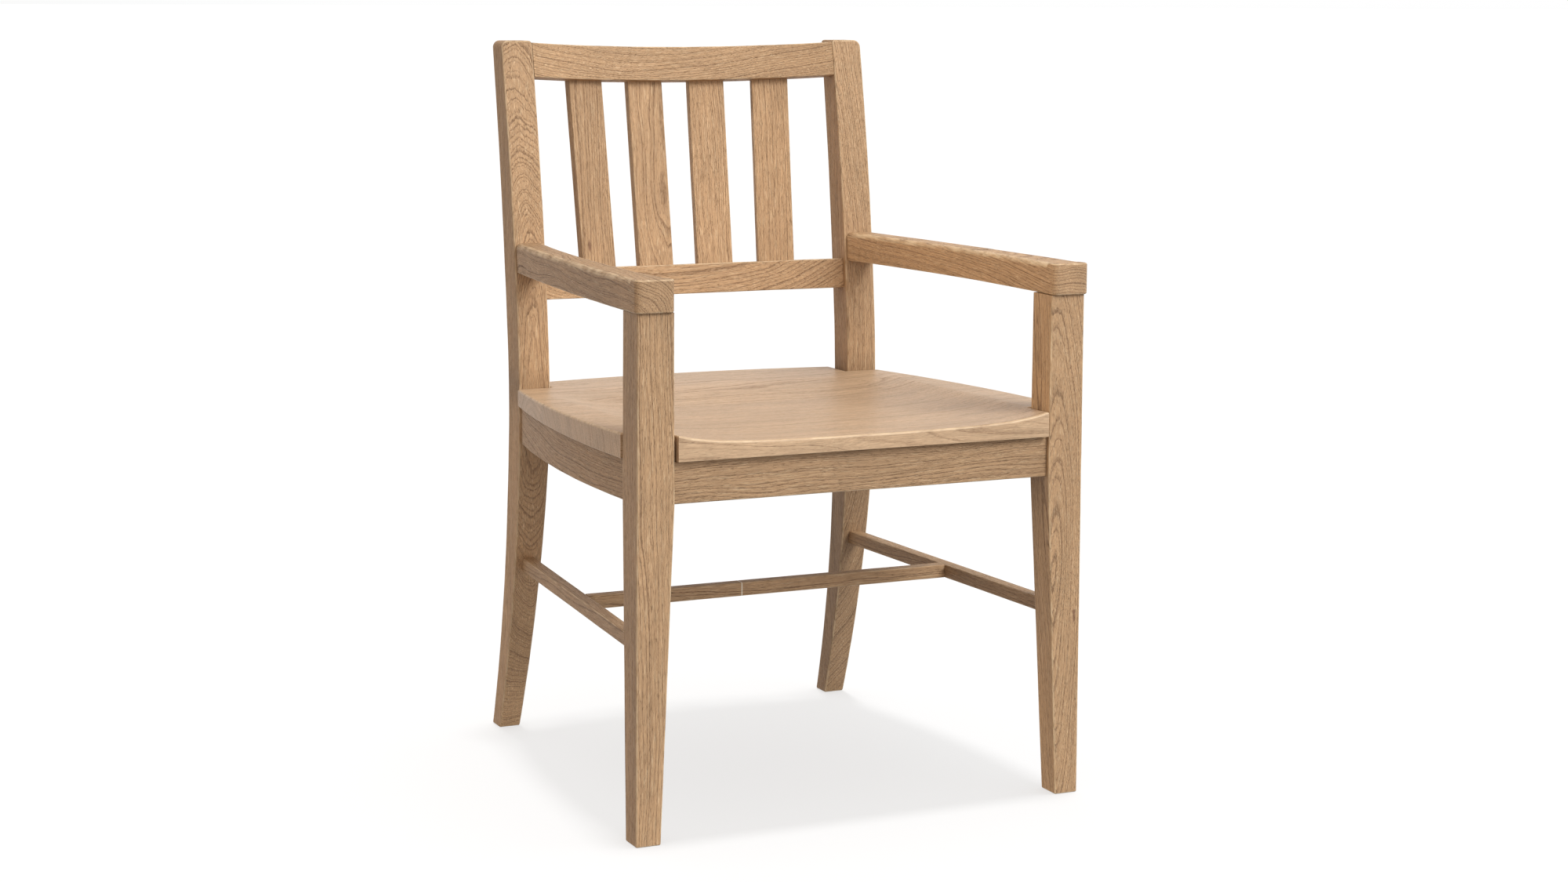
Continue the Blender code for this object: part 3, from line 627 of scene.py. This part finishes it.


# %% [markdown]
# ### Wire-brushed oak with a satin oil
# The rings are a few millimetres apart. The pores are drawn about twice as wide as real
# ones, because at their true 0.3 mm they would vanish. Worn edges are paler and smoother,
# and the paler edge is also a painted highlight.
# The first step turns a point of a board into a point of its log, in millimetres, and bends
# the log with noise that is long along the grain, because no tree grows straight.

# %% The log
HONEY = hex_colour("AF8C68")
EARLY = hex_colour("8F6F52")
PORE = hex_colour("6B4F35")
PALE = hex_colour("D8BD99")
KNOT = hex_colour("6E4A36")
DRIED_GLUE = hex_colour("EFE4D0")
MILLIMETRE = 0.001
NEXT_BOARD = 0.83
BEND_GAIN = 3.0


def log_space(tree, pith, grain, seed, sway_mm, ripple_mm):
    """Millimetres round the pith, with Z along the grain, bent as a real log is."""
    axis = Vector(grain).normalized()
    place = add_node(tree, "TexCoord", {})["Object"]
    log = add_node(tree, "Mapping", {
        "Vector": place, "Location": Vector(pith) - axis * seed * NEXT_BOARD,
        "Rotation": axis.to_track_quat("Z", "Y").to_euler(), "Scale": (MILLIMETRE,) * 3},
        vector_type="TEXTURE")[0]
    for across, along, amount in ((60, 240, sway_mm), (14, 75, ripple_mm), (2.5, 25, 0.25)):
        fine = add_node(tree, "VectorMath", {0: log, 1: (1 / across, 1 / across, 1 / along)},
                        operation="MULTIPLY")[0]
        drift = add_node(tree, "TexNoise", {"Vector": fine, "Scale": 1.0, "Detail": 1.0})["Color"]
        centred = add_node(tree, "VectorMath", {0: drift, 1: (0.5, 0.5, 0.5)},
                           operation="SUBTRACT")[0]
        scaled = add_node(tree, "VectorMath", {0: centred, "Scale": amount * BEND_GAIN},
                          operation="SCALE")[0]
        log = add_node(tree, "VectorMath", {0: log, 1: scaled}, operation="ADD")[0]
    return log


# %% [markdown]
# Each year leaves a dark line of early wood, which fades into pale late wood. The years
# aren't equal: a slow noise moves the rings and makes some lines strong and some weak.

# %% Year lines
EARLY_FADES, NEXT_STARTS = 0.42, 0.90


def year_lines(tree, log, ring_mm):
    """One on a dark line of early wood, and nothing in the late wood between two lines."""
    flat = add_node(tree, "VectorMath", {0: log, 1: (1, 1, 0)}, operation="MULTIPLY")[0]
    radius = add_node(tree, "VectorMath", {0: flat}, operation="LENGTH")["Value"]
    years = add_node(tree, "Math", {0: radius, 1: 1 / ring_mm}, operation="MULTIPLY")[0]
    weather = add_node(tree, "TexNoise", {"W": years, "Scale": 0.6, "Detail": 2.0},
                       noise_dimensions="1D")["Fac"]
    years = add_node(tree, "Math", {0: weather, 1: 2.0, 2: years}, operation="MULTIPLY_ADD")[0]
    phase = add_node(tree, "Math", {0: years}, operation="FRACT")[0]
    falling = add_node(tree, "MapRange", {0: phase, 1: 0.0, 2: EARLY_FADES, 3: 1.0, 4: 0.0},
                       interpolation_type="SMOOTHSTEP")[0]
    rising = add_node(tree, "MapRange", {0: phase, 1: NEXT_STARTS, 2: 1.0, 3: 0.0, 4: 1.0},
                      interpolation_type="SMOOTHSTEP")[0]
    line = add_node(tree, "Math", {0: falling, 1: rising}, operation="MAXIMUM")[0]
    strong_year = add_node(tree, "MapRange", {0: weather, 1: 0.35, 2: 0.62, 3: 0.45, 4: 1.0})[0]
    return add_node(tree, "Math", {0: line, 1: strong_year}, operation="MULTIPLY")[0]


# %% [markdown]
# Pores are cut open by the saw into dark dashes, most of them in the lines and a few between.
# Fibres are finer still and run far along the grain. The lime stayed in some of them, as
# pale streaks. All three are noise in cells that are narrow across the grain and long along
# it, and each cell's size is given as how many of them fit in a millimetre.

# %% Pores, fibres and lime
PORES_PER_MM = (1.9, 1.9, 0.13)
FIBRES_PER_MM = (1.0, 1.0, 0.03)
LIME_PER_MM = (0.75, 0.75, 0.04)


def pore_dashes(tree, log, line):
    long_cells = add_node(tree, "VectorMath", {0: log, 1: PORES_PER_MM},
                          operation="MULTIPLY")[0]
    dashes = add_node(tree, "TexNoise", {"Vector": long_cells, "Scale": 1.0, "Detail": 2.0,
                                         "Roughness": 0.6})["Fac"]
    crowd = add_node(tree, "Math", {0: line, 1: 0.14, 2: dashes}, operation="MULTIPLY_ADD")[0]
    return add_node(tree, "MapRange", {0: crowd, 1: 0.56, 2: 0.74, 3: 0.0, 4: 1.0},
                    interpolation_type="SMOOTHSTEP")[0]


def fibres(tree, log):
    threads = add_node(tree, "VectorMath", {0: log, 1: FIBRES_PER_MM}, operation="MULTIPLY")[0]
    return add_node(tree, "TexNoise", {"Vector": threads, "Scale": 1.0, "Detail": 3.0,
                                       "Roughness": 0.65})["Fac"]


def lime_streaks(tree, log, lime):
    cells = add_node(tree, "VectorMath", {0: log, 1: LIME_PER_MM}, operation="MULTIPLY")[0]
    limed = add_node(tree, "TexNoise", {"Vector": cells, "Scale": 1.0, "Detail": 3.0,
                                        "Roughness": 0.6})["Fac"]
    return add_node(tree, "MapRange", {0: limed, 1: 0.52, 2: 0.70, 3: 0.0, 4: lime},
                    interpolation_type="SMOOTHSTEP")[0]


# %% [markdown]
# No two boards have one tone. It drifts slowly along a board. On some boards painted light
# and shade are added: the tone changes below the seat, and painted shade darkens the wood
# round the joint at the seat, where the seat shades it.

# %% Tone
DRIFTS_PER_MM = (0.035, 0.035, 0.007)
JOINT_SHADE_FROM, JOINT_SHADE_TO = 0.004, 0.034


def board_shade(tree, log, fibre, place, tone, painted_light_below_seat, joint):
    """What the wood's colour is multiplied by: fibres, slow drifts, the board's own tone,
    and painted light and shade below the seat and round the joint at the seat.
    """
    drifts = add_node(tree, "VectorMath", {0: log, 1: DRIFTS_PER_MM}, operation="MULTIPLY")[0]
    drift = add_node(tree, "TexNoise", {"Vector": drifts, "Scale": 1.0, "Detail": 2.0})["Fac"]
    streak = add_node(tree, "MapRange", {0: fibre, 1: 0.25, 2: 0.75, 3: 0.74, 4: 1.26})[0]
    cloud = add_node(tree, "MapRange", {0: drift, 1: 0.25, 2: 0.75, 3: 1.10, 4: 0.90})[0]
    shade = add_node(tree, "Math", {0: streak, 1: cloud}, operation="MULTIPLY")[0]
    height = add_node(tree, "SeparateXYZ", {"Vector": place})["Z"]
    # Painted light and shade below the seat: lighter on the left back leg, darker on the right.
    tone_and_painted_light = add_node(tree, "MapRange", {0: height, 1: APRON_BOTTOM - 0.02, 2: SEAT_LEVEL,
                                      3: painted_light_below_seat or tone, 4: tone})[0]
    # Painted shade round the joint at the seat, where the seat shades the back legs.
    away = add_node(tree, "Math", {0: height, 1: SEAT_LEVEL}, operation="SUBTRACT")[0]
    away = add_node(tree, "Math", {0: away}, operation="ABSOLUTE")[0]
    shade_at_joint = add_node(tree, "MapRange", {0: away, 1: JOINT_SHADE_FROM, 2: JOINT_SHADE_TO,
                                       3: joint, 4: 1.0}, interpolation_type="SMOOTHSTEP")[0]
    tone_and_painted_light = add_node(tree, "Math", {0: tone_and_painted_light, 1: shade_at_joint}, operation="MULTIPLY")[0]
    return add_node(tree, "Math", {0: shade, 1: tone_and_painted_light}, operation="MULTIPLY")[0]


# %% [markdown]
# A few boards have something of their own: a small knot, which is a dark red-brown spot
# drawn out along the grain, or a thin pale line, such as dried glue leaves.

# %% Knots and a pale line
LINE_SOLID, LINE_FADED = 0.0006, 0.0010


def with_knots(tree, wood, place, knots):
    for centre, reach in knots:
        spot = add_node(tree, "Mapping", {"Vector": place, "Location": centre, "Scale": reach},
                        vector_type="TEXTURE")[0]
        far = add_node(tree, "VectorMath", {0: spot}, operation="LENGTH")["Value"]
        knot = add_node(tree, "MapRange", {0: far, 1: 0.5, 2: 1.3, 3: 0.8, 4: 0.0},
                        interpolation_type="SMOOTHSTEP")[0]
        wood = add_node(tree, "Mix", {0: knot, 6: wood, 7: KNOT}, data_type="RGBA")[2]
    return wood


def with_pale_line(tree, wood, place, line_x):
    across = add_node(tree, "SeparateXYZ", {"Vector": place})["X"]
    off = add_node(tree, "Math", {0: across, 1: line_x}, operation="SUBTRACT")[0]
    off = add_node(tree, "Math", {0: off}, operation="ABSOLUTE")[0]
    band = add_node(tree, "MapRange", {0: off, 1: LINE_SOLID, 2: LINE_FADED, 3: 0.9, 4: 0.0})[0]
    return add_node(tree, "Mix", {0: band, 6: wood, 7: DRIED_GLUE}, data_type="RGBA")[2]


# %% [markdown]
# Edges are paler and smoother in patches, where the bevel attribute says that a bevel was
# made. The paler colour is partly wear and partly a painted highlight along the edge.

# %% Worn edges, with a painted highlight
PALE_EDGE_PATCHES_PER_MM = (0.12, 0.12, 0.05)


def edge_rub_and_highlight(tree, log):
    edge = add_node(tree, "Attribute", {}, attribute_name="edge_wear")["Fac"]
    patches = add_node(tree, "VectorMath", {0: log, 1: PALE_EDGE_PATCHES_PER_MM}, operation="MULTIPLY")[0]
    pale_patch = add_node(tree, "TexNoise", {"Vector": patches, "Scale": 1.0, "Detail": 2.0})["Fac"]
    pale_patch = add_node(tree, "MapRange", {0: pale_patch, 1: 0.35, 2: 0.62, 3: 0.15, 4: 0.8})[0]
    return add_node(tree, "Math", {0: edge, 1: pale_patch}, operation="MULTIPLY")[0]


# %% [markdown]
# The steps are then laid over each other, as they are on the board: honey wood, dark early
# lines, lime, pores, tone with its painted light and shade, knots, and rubbed edges with
# their painted highlight. Pores and lines also sink, and a pore is duller than the oiled
# wood round it.

# %% The oak
BRUSHED_DEEP = 0.0005


def oak(name, pith, grain, seed, ring_mm=2.8, sway_mm=6.0, ripple_mm=0.8, lines=0.8, pores=0.64,
        lime=0.42, tone=1.0, relief=0.7, rough=0.55, painted_light_below_seat=None, joint=1.0, knots=(),
        pale_line=None, honey=HONEY, early=EARLY):
    """Brushed oak cut from a log whose pith passes through pith, in metres, along grain."""
    material = bpy.data.materials.new(name)
    material.use_nodes = True
    tree = material.node_tree
    shader = tree.nodes["Principled BSDF"]
    place = add_node(tree, "TexCoord", {})["Object"]
    log = log_space(tree, pith, grain, seed, sway_mm, ripple_mm)
    line = year_lines(tree, log, ring_mm)
    pore = pore_dashes(tree, log, line)
    fibre = fibres(tree, log)
    limed = lime_streaks(tree, log, lime)
    worn_and_highlit = edge_rub_and_highlight(tree, log)

    brown = add_node(tree, "Math", {0: line, 1: lines}, operation="MULTIPLY")[0]
    wood = add_node(tree, "Mix", {0: brown, 6: honey, 7: early}, data_type="RGBA")[2]
    wood = add_node(tree, "Mix", {0: limed, 6: wood, 7: PALE}, data_type="RGBA")[2]
    dark = add_node(tree, "Math", {0: pore, 1: pores}, operation="MULTIPLY")[0]
    wood = add_node(tree, "Mix", {0: dark, 6: wood, 7: PORE}, data_type="RGBA")[2]
    shade = board_shade(tree, log, fibre, place, tone, painted_light_below_seat, joint)
    wood = add_node(tree, "VectorMath", {0: wood, "Scale": shade}, operation="SCALE")[0]
    wood = with_knots(tree, wood, place, knots)
    if pale_line is not None:
        wood = with_pale_line(tree, wood, place, pale_line)
    # The pale edges are partly wear and partly a painted highlight along the rounded edge.
    wood = add_node(tree, "Mix", {0: worn_and_highlit, 6: wood, 7: PALE}, data_type="RGBA")[2]
    tree.links.new(wood, shader.inputs["Base Color"])

    matt = add_node(tree, "Math", {0: pore, 1: 0.25, 2: rough}, operation="MULTIPLY_ADD")[0]
    matt = add_node(tree, "Math", {0: worn_and_highlit, 1: -0.10, 2: matt}, operation="MULTIPLY_ADD")[0]
    tree.links.new(matt, shader.inputs["Roughness"])

    sunk = add_node(tree, "Math", {0: line, 1: -0.5, 2: fibre}, operation="MULTIPLY_ADD")[0]
    sunk = add_node(tree, "Math", {0: pore, 1: -0.9, 2: sunk}, operation="MULTIPLY_ADD")[0]
    brushed = add_node(tree, "Bump", {"Height": sunk, "Strength": relief,
                                      "Distance": BRUSHED_DEEP})[0]
    tree.links.new(brushed, shader.inputs["Normal"])
    shader.inputs["Specular IOR Level"].default_value = 0.3
    return material


# %% [markdown]
# ### Which cut each board has
# Each line says where the pith runs and how the grain leans. A pith close behind a face
# gives arches there, a distant one gives straight lines, and a few degrees of lean turn
# lines into long tongues.

# %% Cut the boards
cuts = {
    # The back legs carry painted light and shade: the left is lighter below the seat, the right
    # darker, and both are darker round the joint at the seat.
    "oak_left_back_leg": dict(pith=(-0.231, 0.150, 0.70), grain=(0.0, 0.01, 1), ring_mm=1.3,
                              tone=1.10, painted_light_below_seat=1.24, joint=0.82),
    "oak_right_back_leg": dict(pith=(0.135, 0.120, 0.60), grain=(0.0, 0.06, 1), ring_mm=2.4,
                               tone=1.05, painted_light_below_seat=0.82, joint=0.80),
    "oak_left_front_leg": dict(pith=(-0.360, -0.180, 0.3), grain=(0.01, 0.01, 1), ring_mm=2.6,
                               tone=1.04),
    "oak_right_front_leg": dict(pith=(0.247, -0.276, 0.45), grain=(0.0, 0.12, 1), ring_mm=3.2,
                                tone=1.02,
                                knots=[((0.2765, -0.2964, 0.2230), (0.0022, 0.008, 0.0030)),
                                       ((0.2770, -0.2964, 0.2160), (0.0014, 0.008, 0.0060))]),
    "oak_left_arm": dict(pith=(-0.310, -0.10, 0.560), grain=(0.03, 1, 0.05), ring_mm=2.8,
                         sway_mm=9.0, ripple_mm=1.2, lines=0.9, tone=0.97),
    "oak_right_arm": dict(pith=(0.250, -0.05, 0.52), grain=(-0.02, 1, 0.10), ring_mm=3.4,
                          tone=1.03),
    "oak_crest_rail": dict(pith=(-0.02, 0.300, 0.930), grain=(1, 0.0, 0.04), ring_mm=2.8,
                           tone=1.08),
    "oak_lower_back_rail": dict(pith=(0.0, 0.310, 0.64), grain=(1, 0.0, 0.03), ring_mm=3.2,
                                tone=1.13),
    "oak_back_slat_1": dict(pith=(-0.19, 0.30, 0.7), grain=(-0.01, 0.13, 1), ring_mm=2.6,
                            pores=0.52, lime=0.38, tone=0.99,
                            knots=[((-0.1375, 0.238, 0.6310), (0.0022, 0.03, 0.0085))]),
    "oak_back_slat_2": dict(pith=(-0.02, 0.35, 0.7), grain=(0.0, 0.12, 1), ring_mm=2.4,
                            pores=0.52, lime=0.38, tone=1.07),
    "oak_back_slat_3": dict(pith=(0.13, 0.30, 0.7), grain=(0.0, 0.12, 1), ring_mm=2.4,
                            tone=1.16),
    "oak_back_slat_4": dict(pith=(0.06, 0.26, 0.7), grain=(0.01, 0.14, 1), ring_mm=2.4,
                            tone=1.16),
    "oak_front_apron": dict(pith=(0.0, -0.20, 0.34), grain=(1, 0.02, 0.025), ring_mm=2.8,
                            tone=0.93),
    "oak_back_apron": dict(pith=(0.0, 0.28, 0.36), grain=(1, 0.0, 0.02), ring_mm=2.8),
    "oak_left_side_apron": dict(pith=(-0.20, 0.0, 0.35), grain=(0.05, 1, 0.05), ring_mm=2.6),
    "oak_right_side_apron": dict(pith=(0.20, 0.0, 0.35), grain=(-0.05, 1, 0.05), ring_mm=2.6),
    "oak_left_side_stretcher": dict(pith=(-0.30, 0.0, 0.26), grain=(0.08, 1, 0.0)),
    "oak_right_side_stretcher": dict(pith=(0.22, 0.0, 0.20), grain=(-0.08, 1, 0.02)),
    "oak_cross_stretcher": dict(pith=(0.0, 0.02, 0.20), grain=(1, 0.01, 0.01), tone=1.08,
                                pale_line=-0.0405),
}
for index, (name, cut) in enumerate(cuts.items()):
    pieces[name].data.materials.append(oak(f"brushed_{name}", seed=index + 1, **cut))

SEAT_HONEY, SEAT_EARLY, SEAT_SEED = hex_colour("BC9D7D"), hex_colour("A58668"), 31
pieces["oak_seat"].data.materials.append(
    oak("sanded_oak_seat", pith=(0.05, 0.10, 0.36), grain=(1, 0.05, 0.02),
        seed=SEAT_SEED, ring_mm=4.0, sway_mm=9.0, lines=0.8, pores=0.5, lime=0.35, tone=1.04,
        relief=0.2, rough=0.42, honey=SEAT_HONEY, early=SEAT_EARLY))
print(len(cuts) + 1, "boards have their cut of oak")

# %% [markdown]
# ## Corner blocks, dowels and screws
# The blocks and dowels are plain beech, left as they came off the saw, and the screws are
# zinc-plated steel. Their CAD shapes are right, so they only get finishes.

# %% Beech and steel
def beech():
    """Unfinished beech: pale pink-brown with small darker flecks along the grain."""
    material = bpy.data.materials.new("sawn_beech")
    material.use_nodes = True
    tree = material.node_tree
    shader = tree.nodes["Principled BSDF"]
    place = add_node(tree, "TexCoord", {})["Object"]
    along = add_node(tree, "Mapping", {"Vector": place, "Scale": (110, 700, 700)})[0]
    streak = add_node(tree, "TexNoise", {"Vector": along, "Scale": 1.0, "Detail": 3.0})["Fac"]
    spots = add_node(tree, "Mapping", {"Vector": place, "Scale": (330, 1250, 1250)})[0]
    fleck = add_node(tree, "TexVoronoi", {"Vector": spots, "Scale": 1.0})["Distance"]
    fleck = add_node(tree, "MapRange", {0: fleck, 1: 0.12, 2: 0.3, 3: 0.5, 4: 0.0})[0]
    wood = add_node(tree, "Mix", {0: streak, 6: hex_colour("D8B48C"), 7: hex_colour("C39A70")},
                    data_type="RGBA")[2]
    wood = add_node(tree, "Mix", {0: fleck, 6: wood, 7: hex_colour("96683F")},
                    data_type="RGBA")[2]
    tree.links.new(wood, shader.inputs["Base Color"])
    matt = add_node(tree, "Math", {0: streak, 1: 0.15, 2: 0.62}, operation="MULTIPLY_ADD")[0]
    tree.links.new(matt, shader.inputs["Roughness"])
    sawn = add_node(tree, "Bump", {"Height": streak, "Strength": 0.3, "Distance": 0.0003})[0]
    tree.links.new(sawn, shader.inputs["Normal"])
    return material


def zinc():
    """Zinc plating on steel: grey, slightly yellow, with soft cloudy reflections."""
    material = bpy.data.materials.new("zinc_plated_steel")
    material.use_nodes = True
    tree = material.node_tree
    shader = tree.nodes["Principled BSDF"]
    place = add_node(tree, "TexCoord", {})["Object"]
    cloudy = add_node(tree, "TexNoise", {"Vector": place, "Scale": 900.0, "Detail": 3.0})["Fac"]
    plate = add_node(tree, "Mix", {0: cloudy, 6: hex_colour("C9C6B8"), 7: hex_colour("A9A698")},
                     data_type="RGBA")[2]
    tree.links.new(plate, shader.inputs["Base Color"])
    soft = add_node(tree, "Math", {0: cloudy, 1: 0.2, 2: 0.25}, operation="MULTIPLY_ADD")[0]
    tree.links.new(soft, shader.inputs["Roughness"])
    shader.inputs["Metallic"].default_value = 1.0
    return material


beech_finish, zinc_finish = beech(), zinc()
for name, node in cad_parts.items():
    if "screw" in name or "block" in name or "dowel" in name:
        node.data.materials.clear()
        node.data.materials.append(zinc_finish if "screw" in name else beech_finish)
print("blocks, dowels and screws are finished")

# %% [markdown]
# ## Studio
# A white paper floor in a white room. The room is darker below the horizon, so that the
# underside of the chair stays in shade, and dimmer and warmer on the left. There are three
# lamps. A broad soft one in front to the right lights the chair. A narrow one straight above
# lights only the floor, and draws the grey shadow between the feet. The third is a cheat: a
# reflector on the left that lights only the right arm and the right front leg, whose inner
# sides face that way and would otherwise stay too dark.

# %% Floor
FLOOR_HALF, PAPER_GREY, PAPER_GLOW = 300.0, 0.3, 0.65
bm = bmesh.new()
bmesh.ops.create_grid(bm, x_segments=1, y_segments=1, size=FLOOR_HALF)
mesh = bpy.data.meshes.new("studio_floor")
bm.to_mesh(mesh)
bm.free()
floor = bpy.data.objects.new("studio_floor", mesh)
bpy.context.scene.collection.objects.link(floor)
floor.visible_diffuse = False
paper = bpy.data.materials.new("white_paper_floor")
paper.use_nodes = True
surface = paper.node_tree.nodes["Principled BSDF"]
surface.inputs["Base Color"].default_value = (PAPER_GREY, PAPER_GREY, PAPER_GREY, 1.0)
surface.inputs["Roughness"].default_value = 1.0
surface.inputs["Specular IOR Level"].default_value = 0.0
surface.inputs["Emission Color"].default_value = (1.0, 1.0, 1.0, 1.0)
surface.inputs["Emission Strength"].default_value = PAPER_GLOW
mesh.materials.append(paper)
print("floor", 2 * FLOOR_HALF, "metres wide")

# %% Room light
BELOW_HORIZON, LEFT_WALL = 0.30, 0.67
WARM_WHITE = hex_colour("FFF0E2")
world = bpy.data.worlds.new("white_room")
world.use_nodes = True
room = world.node_tree
direction = add_node(room, "TexCoord", {})["Generated"]
direction = add_node(room, "SeparateXYZ", {0: direction})
level = add_node(room, "MapRange", {0: direction["Z"], 1: -0.25, 2: 0.0, 3: BELOW_HORIZON,
                                 4: 1.0})[0]
left = add_node(room, "MapRange", {0: direction["X"], 1: -1.0, 2: 0.3, 3: LEFT_WALL,
                                4: 1.0})[0]
level = add_node(room, "Math", {0: level, 1: left}, operation="MULTIPLY")[0]
warmth = add_node(room, "MapRange", {0: direction["X"], 1: -0.9, 2: 0.2, 3: 1.0, 4: 0.0})[0]
tint = add_node(room, "Mix", {0: warmth, 6: (1.0, 1.0, 1.0, 1.0), 7: WARM_WHITE},
                data_type="RGBA")[2]
room.links.new(tint, room.nodes["Background"].inputs["Color"])
room.links.new(level, room.nodes["Background"].inputs["Strength"])
bpy.context.scene.world = world
print("room light falls to", BELOW_HORIZON, "below the horizon and", LEFT_WALL, "on the left")


# %% Lamps
def lamp(name, source, strength, softness, lit, colour="FFFFFF"):
    """A distant lamp in this direction from the chair; softness is its width in degrees."""
    light = bpy.data.lights.new(name, "SUN")
    light.color = hex_colour(colour)[:3]
    light.energy = strength
    light.angle = radians(softness)
    stand = bpy.data.objects.new(name, light)
    bpy.context.scene.collection.objects.link(stand)
    stand.rotation_euler = Vector(source).to_track_quat("Z", "Y").to_euler()
    receivers = bpy.data.collections.new(f"lit by {name}")
    for thing in lit:
        receivers.objects.link(thing)
    stand.light_linking.receiver_collection = receivers
    print(name, strength, "W per square metre on", len(lit), "objects")


lamp("key", (0.45, -0.85, 0.75), 2.3, 30, [*pieces.values(), *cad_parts.values()],
     colour="FAFDFF")
lamp("reflector", (-1.0, 0.0, 0.25), 1.2, 40,
     [pieces["oak_right_arm"], pieces["oak_right_front_leg"]], colour="FFF4E0")
lamp("overhead", (0.03, 0.0, 1.0), 1.45, 6, [floor])
